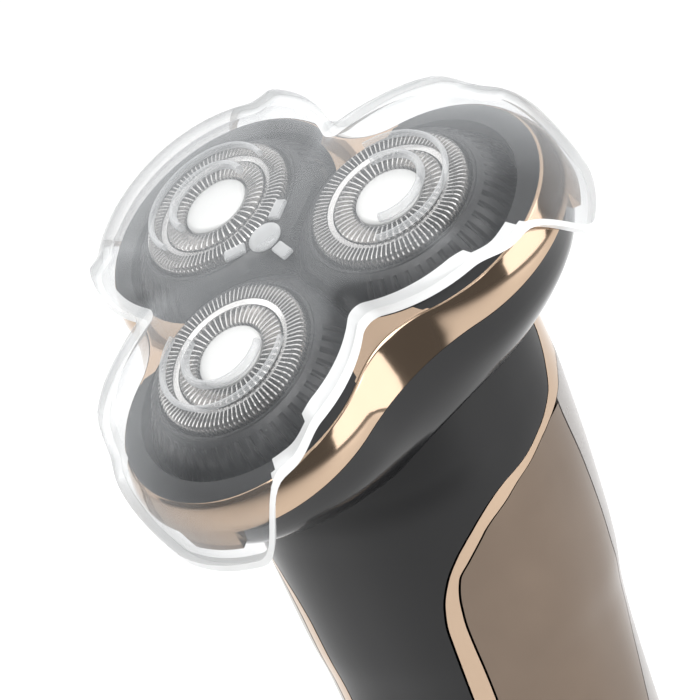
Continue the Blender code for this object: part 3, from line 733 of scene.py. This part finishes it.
@dataclass
class CutterUnit:
    """One floating unit: petal, slotted foil, centre disc; the rotor keeps its CAD shape."""

    lobe: Lobe
    outer_slots: int = 96
    inner_slots: int = 52
    foil_r: float = 10.8
    petal_r: float = 15.3
    side_gap: float = 0.8  # from a petal's flat cut to the plane between two units
    flank_slot: float = 0.55
    flank_reach: float = 118.0  # angle from the front past which the flank has no slots

    def foil_point(self, radius: float, height: float, station: int, per: int, slots: int,
                   depth: float) -> Vector:
        """Point of a foil track; stations fall in turn on ribs and in slots."""
        count = slots * per
        a = 2 * math.pi * (station - 0.5) / count
        sunk = depth if station % per in (2, 3) else 0.0
        return polar(radius, a, height - sunk)

    def track(self, name: str, profile: Sequence[tuple[float, float, float]], slots: int,
              stands_for: Sequence[str]) -> None:
        """One slotted ring of the foil.

        Args:
            name: Piece name.
            profile: Rows of (radius, height, slot depth) round the section.
            slots: Number of slots.
            stands_for: Nodes that it replaces.
        """
        per = 4

        def place(ring: int, station: int) -> Vector:
            """Point of a ring and station, in mm."""
            radius, height, depth = profile[ring]
            return self.foil_point(radius, height, station, per, slots, depth)

        bm = loft(len(profile), slots * per, place, wrap=True)
        piece = finish_piece(name, bm, HEAD.cutter(self.lobe), f"unit_{self.lobe.tag}", FOIL,
                             stands_for, sharp=25)
        # Second slot: the dark painted shade for the slot floors.
        piece.data.materials.append(SLOT_PAINTED_SHADE.material())
        inverse = HEAD.cutter(self.lobe).inverted()
        step = 360.0 / slots
        # Faces deep in each slot get the painted shade.
        for face in piece.data.polygons:
            spot = inverse @ (face.center / MM)
            share = (bearing(spot) / step + 0.125) % 1.0
            if 0.5 < share < 0.75 and spot.z < -0.45:
                face.material_index = 1

    def foil(self) -> None:
        """Outer and inner slotted tracks with the groove between them."""
        r = self.foil_r
        tag = self.lobe.tag
        outer = ((r, -3.4, 0.0), (r, -1.6, 0.0), (r, -1.55, 0.9), (r, -0.75, 1.2),
                 (r - 0.12, -0.35, 1.3), (r - 0.4, -0.1, 1.3), (r - 0.8, 0.0, 1.3),
                 (9.0, 0.0, 1.3), (8.45, -0.02, 1.3), (8.42, -0.1, 1.1), (8.4, -0.2, 0.0),
                 (7.7, -0.4, 0.0), (7.6, -0.8, 0.0), (7.6, -2.0, 0.0), (10.1, -2.2, 0.0),
                 (10.1, -3.4, 0.0))
        inner = ((7.5, -0.8, 0.0), (7.5, -0.3, 0.0), (7.45, -0.12, 0.6), (7.2, 0.0, 1.0),
                 (6.2, 0.02, 1.0), (5.3, -0.1, 1.0), (4.95, -0.2, 0.8), (4.9, -0.3, 0.0),
                 (4.8, -1.3, 0.0), (7.5, -1.3, 0.0))
        self.track(f"foil_outer_{tag}", outer, self.outer_slots, (f"foil_{tag}",))
        self.track(f"foil_inner_{tag}", inner, self.inner_slots, ())

    def disc(self) -> None:
        """Slightly domed satin disc with a rounded edge."""
        bm = bmesh.new()
        profile = ((0.0, 0.32), (1.6, 0.3), (3.0, 0.22), (3.9, 0.08), (4.3, -0.1), (4.5, -0.35),
                   (4.5, -0.9), (4.2, -1.2), (2.0, -1.3), (0.0, -1.3))
        verts = [bm.verts.new((r, 0, z)) for r, z in profile]
        edges = [bm.edges.new(pair) for pair in zip(verts, verts[1:])]
        bmesh.ops.spin(bm, geom=verts + edges, cent=(0, 0, 0), axis=(0, 0, 1),
                       angle=2 * math.pi, steps=96, use_merge=True)
        bmesh.ops.remove_doubles(bm, verts=bm.verts, dist=1e-4)
        tag = self.lobe.tag
        finish_piece(f"satin_disc_{tag}", bm, HEAD.cutter(self.lobe), f"unit_{tag}", DISC,
                     (f"centre_disc_{tag}",))

    def petal(self) -> None:
        """Black holder: dished top, sloped flank with slots, flat cuts toward the neighbours."""
        clip = HEAD.cutter_r * math.sin(math.pi / 3) - self.side_gap
        r = self.petal_r
        stations = 288
        profile = ((r, -7.2), (r, -6.3), (r - 0.06, -5.9), (r - 0.5, -5.2), (r - 0.9, -4.4),
                   (r - 1.3, -3.5), (r - 1.9, -2.6), (r - 2.8, -1.75), (r - 3.6, -1.3),
                   (11.6, -1.1), (11.2, -1.15), (11.1, -1.5), (11.1, -4.0), (10.0, -4.2),
                   (10.0, -7.2))

        def place(ring: int, station: int) -> Vector:
            """Point of a ring and station, in mm."""
            radius, height = profile[ring]
            angle = 360.0 * station / stations
            if 3 <= ring <= 6 and abs((angle + 180) % 360 - 180) < self.flank_reach and station % 6 < 2:
                radius -= self.flank_slot
            a = math.radians(angle)
            for side in (-1, 1):
                facing = math.cos(a + side * math.radians(150.0))
                if facing > 1e-6:
                    radius = min(radius, clip / facing)
            return polar(radius, a, height)

        bm = loft(len(profile), stations, place, wrap=True)
        tag = self.lobe.tag
        finish_piece(f"petal_shell_{tag}", bm, HEAD.cutter(self.lobe), f"unit_{tag}", SATIN_BLACK,
                     (f"petal_{tag}",))

    def build(self) -> None:
        """Build the unit and dress its rotor."""
        self.petal()
        self.foil()
        self.disc()
        dress(f"rotor_{self.lobe.tag}", STEEL)


@dataclass
class HeadBase:
    """Glossy lower shell of the head, from the trim down to the round neck."""

    stations: int = 360
    wall: float = 1.5
    top: LobedOutline = LobedOutline(36.6, 25.1, 17.8)
    edge_h: float = -9.3
    lip_h: float = -20.0
    neck_h: float = -21.0

    def share(self, height: float) -> float:
        """Share of the neck's outline in the section at a height."""
        table = ((-21.0, 0.60), (-20.0, 0.52), (-17.9, 0.33), (-14.0, 0.10), (-9.3, 0.0))
        return read_curve(table, height)

    def build(self) -> None:
        """Build the shell: flank, overhanging lip, underside and inside."""
        inverse = HEAD.matrix().inverted()
        stations = range(self.stations)
        necks = {inset: [inverse @ HANDLE.point(360.0 * s / self.stations, HANDLE.neck_z, inset)
                         for s in stations] for inset in (0.0, 0.5, 1.5, 2.0)}
        outer = (None, -9.6, -10.6, -12.0, -13.5, -15.0, -16.5, -17.8, -18.8, -19.5, -20.0)
        rings = [(h, 0.0, None) for h in outer]
        rings += [(-20.25, 0.12, self.share(self.lip_h)), (-20.38, 0.4, self.share(self.lip_h)),
                  (self.neck_h, 0.5, 1.0), (self.neck_h, 2.0, 1.0), (-19.5, 2.0, 1.0)]
        rings += [(h, self.wall, None) for h in (-17.9, -14.0, -12.0, -10.6, None)]

        def place(ring: int, station: int) -> Vector:
            """Point of a ring and station, in mm."""
            height, inset, mix = rings[ring]
            angle = 360.0 * station / self.stations
            top = self.edge_h - tab_drop(angle)
            level = top if height is None else min(height, top - 0.1 * (self.edge_h - height))
            if mix is None:
                mix = self.share(level)
            r = self.top.radius(angle) - inset
            a = math.radians(angle)
            neck = necks[inset if inset in necks else 0.5][station]
            return Vector((r * math.sin(a) * (1 - mix) + neck.x * mix,
                           -r * math.cos(a) * (1 - mix) + neck.y * mix, level))

        bm = loft(len(rings), self.stations, place, wrap=True)
        finish_piece("head_base_shell", bm, HEAD.matrix(), "handle", PIANO,
                     ("head_base",), sharp=50)


# ---------------------------------------------------------------- handle
@dataclass
class HandleSkin:
    """Front bib, plated strips, bronze side panels and the pearl back shell."""

    wall: float = 1.6
    gap: float = 0.45  # half the gap between two panels, in degrees
    low: float = 9.3
    high: float = 144.3
    columns: dict = field(default_factory=lambda: {"front": 96, "strip": 10, "side": 48, "back": 96})

    def rows(self, v: float) -> float:
        """Nominal height of a row; rows crowd where the bib's edge turns."""
        table = ((0.0, self.low), (0.25, 90.0), (0.37, 112.0), (0.5, 121.5), (0.6, 126.0),
                 (0.7, 128.8), (0.8, 130.6), (0.88, 133.0), (1.0, self.high))
        return read_curve(table, v)

    def panel(self, name: str, low: Callable[[float], float], high: Callable[[float], float],
              columns: int, finish: Finish, node: str, raised: float = 0.0,
              top: float = 1.0) -> bpy.types.Object:
        """A panel of the skin between two angle limits.

        Args:
            name: Piece name.
            low: Lower angle limit at a height.
            high: Upper angle limit at a height.
            columns: Cells across.
            finish: The panel's finish.
            node: The node that it replaces.
            raised: How far its outside stands above the skin, in mm.
            top: Share of the rows that the panel takes.

        Returns:
            The piece.
        """
        def place(u: float, v: float) -> Vector:
            """Point at a share across and along the panel, in mm."""
            z = self.rows(v * top)
            return HANDLE.point(low(z) + (high(z) - low(z)) * u, z, -raised)

        bm = sheet(columns, 150, place)
        face_outward(bm, Vector((0, 0, 0)))
        piece = finish_piece(name, bm, Matrix.Identity(4), "handle", finish, (node,),
                             closed=False)
        mod = piece.modifiers.new("wall", "SOLIDIFY")
        mod.thickness = self.wall * MM
        mod.offset = -1.0
        round_edges(piece, 0.22)
        return piece

    def build(self) -> None:
        """Build all the panels."""
        g = self.gap
        self.panel("front_bib", lambda z: -HANDLE.bib_edge(z) + g, lambda z: HANDLE.bib_edge(z) - g,
                   self.columns["front"], PIANO, "front_panel")
        for side, sign in (("right", 1.0), ("left", -1.0)):
            self.panel(f"plated_strip_{side}",
                       lambda z, s=sign: s * (HANDLE.bib_edge(z) + g),
                       lambda z, s=sign: s * (HANDLE.strip_edge(z) - g),
                       self.columns["strip"], CHAMPAGNE, f"trim_strip_{side}")
            self.panel(f"bronze_side_{side}",
                       lambda z, s=sign: s * (HANDLE.strip_edge(z) + g),
                       lambda z, s=sign: s * (max(read_curve(HANDLE.seam, z) - g,
                                                  HANDLE.strip_edge(z) + g + 0.3)),
                       self.columns["side"], BRONZE, f"side_panel_{side}", top=0.79)
        self.panel("pearl_back", lambda z: HANDLE.back_edge(z) + g,
                   lambda z: 360.0 - HANDLE.back_edge(z) - g,
                   self.columns["back"], PEARL, "back_shell")


def dress(node: str, finish: Finish) -> None:
    """Give a CAD node a finish."""
    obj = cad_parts[node]
    for slot in obj.material_slots:
        slot.material = finish.material()
    if not obj.material_slots:
        obj.data.materials.append(finish.material())


@dataclass
class CarriedNodes:
    """CAD nodes whose shape stays, with their finishes."""

    finishes: tuple = (("frame_plate", SATIN_BLACK), ("retainer", ACETAL), ("pinion", STEEL),
                       ("motor_shaft", STEEL), ("motor_can", STEEL), ("drive_deck", SATIN_BLACK),
                       ("power_button", PIANO), ("button_ring", CHAMPAGNE),
                       ("display_window", PIANO), ("chassis", SATIN_BLACK),
                       ("battery_cell", CELL), ("circuit_board", BOARD),
                       ("neck_ring", SATIN_BLACK), ("base_cap", PIANO), ("base_seal", RUBBER),
                       ("charge_socket", STEEL), ("trimmer_cover", PEARL),
                       ("trimmer_comb", STEEL), ("trimmer_blade", STEEL), ("trimmer_pin", STEEL))

    def build(self) -> None:
        """Dress them all."""
        for node, finish in self.finishes:
            dress(node, finish)
        for lobe in Lobe:
            for kind, finish in (("gear", ACETAL), ("spindle", STEEL), ("spring", STEEL)):
                dress(f"{kind}_{lobe.tag}", finish)


# ---------------------------------------------------------------- studio
@dataclass
class Studio:
    """Pale floor, soft lights and the camera. Distances in mm."""

    aim: tuple[float, float, float] = (7.194, -10.596, 150.288)
    azimuth: float = 42.04
    elevation: float = 24.42
    roll: float = -21.49
    distance: float = 393.4
    lens: float = 161.05
    surround: float = 0.16

    def direction(self, azimuth: float, elevation: float) -> Vector:
        """Unit vector toward an azimuth (0 is the front, rising to +X) and elevation."""
        a, e = math.radians(azimuth), math.radians(elevation)
        return Vector((math.sin(a) * math.cos(e), -math.cos(a) * math.cos(e), math.sin(e)))

    def facing(self, spot: Vector, target: Vector, roll: float = 0.0) -> Matrix:
        """Matrix of a thing at a spot that looks at a target."""
        turn = (target - spot).to_track_quat("-Z", "Y").to_matrix().to_4x4()
        return Matrix.Translation(spot) @ turn @ Matrix.Rotation(math.radians(roll), 4, "Z")

    def camera(self) -> None:
        """Place the camera."""
        data = bpy.data.cameras.new("camera")
        data.lens = self.lens
        data.sensor_width = 36.0
        data.clip_start = 0.01
        obj = bpy.data.objects.new("camera", data)
        bpy.context.scene.collection.objects.link(obj)
        aim = Vector(self.aim) * MM
        spot = aim + self.direction(self.azimuth, self.elevation) * self.distance * MM
        obj.matrix_world = self.facing(spot, aim, self.roll)
        bpy.context.scene.camera = obj

    def light(self, name: str, azimuth: float, elevation: float, distance: float, size: tuple,
              power: float, target: tuple = LIT_SPOT) -> None:
        """Rectangular soft light aimed at a target, by default the head."""
        data = bpy.data.lights.new(name, "AREA")
        data.shape = "RECTANGLE"
        data.size, data.size_y = (s * MM for s in size)
        data.energy = power
        obj = bpy.data.objects.new(name, data)
        bpy.context.scene.collection.objects.link(obj)
        spot = (Vector(LIT_SPOT) + self.direction(azimuth, elevation) * distance) * MM
        obj.matrix_world = self.facing(spot, Vector(target) * MM)

    def world(self) -> None:
        """Even pale surround."""
        world = bpy.data.worlds.new("studio")
        world.use_nodes = True
        back = world.node_tree.nodes["Background"]
        back.inputs["Color"].default_value = linear("#FFFFFF")
        back.inputs["Strength"].default_value = self.surround
        bpy.context.scene.world = world

    def floor(self) -> None:
        """Pale floor under the base."""
        bm = bmesh.new()
        bmesh.ops.create_grid(bm, x_segments=1, y_segments=1, size=3.0)
        mesh = bpy.data.meshes.new("floor")
        bm.to_mesh(mesh)
        bm.free()
        finish = Finish("matt_white_sweep", "#FAFAFA", "#F4F4F4", 0.8, grain=20.0, relief=0.0)
        mesh.materials.append(finish.material())
        obj = bpy.data.objects.new("floor", mesh)
        bpy.context.scene.collection.objects.link(obj)
        obj.location.z = -0.0005

    def build(self) -> None:
        """Set up the whole studio."""
        self.camera()
        self.world()
        self.floor()
        self.light("background_light", -138.0, 52.0, 780.0, (1700, 1700), 12.5, target=(-270, 295, 0))
        self.light("softbox_right", 92.0, 22.0, 700.0, (560, 700), 3.0)
        self.light("softbox_front", 20.0, 62.0, 800.0, (500, 500), 3.2)
        self.light("softbox_left", -75.0, 20.0, 800.0, (300, 800), 1.0)
        bpy.context.scene.view_settings.view_transform = "Standard"


def main() -> None:
    """Build every sub-assembly in order."""
    logging.basicConfig(level=logging.INFO, format="%(message)s")
    Studio().build()
    HeadBase().build()
    HeadTrim().build()
    for lobe in Lobe:
        CutterUnit(lobe).build()
    ClearGuard().build()
    HandleSkin().build()
    CarriedNodes().build()


if __name__ == "__main__":
    main()
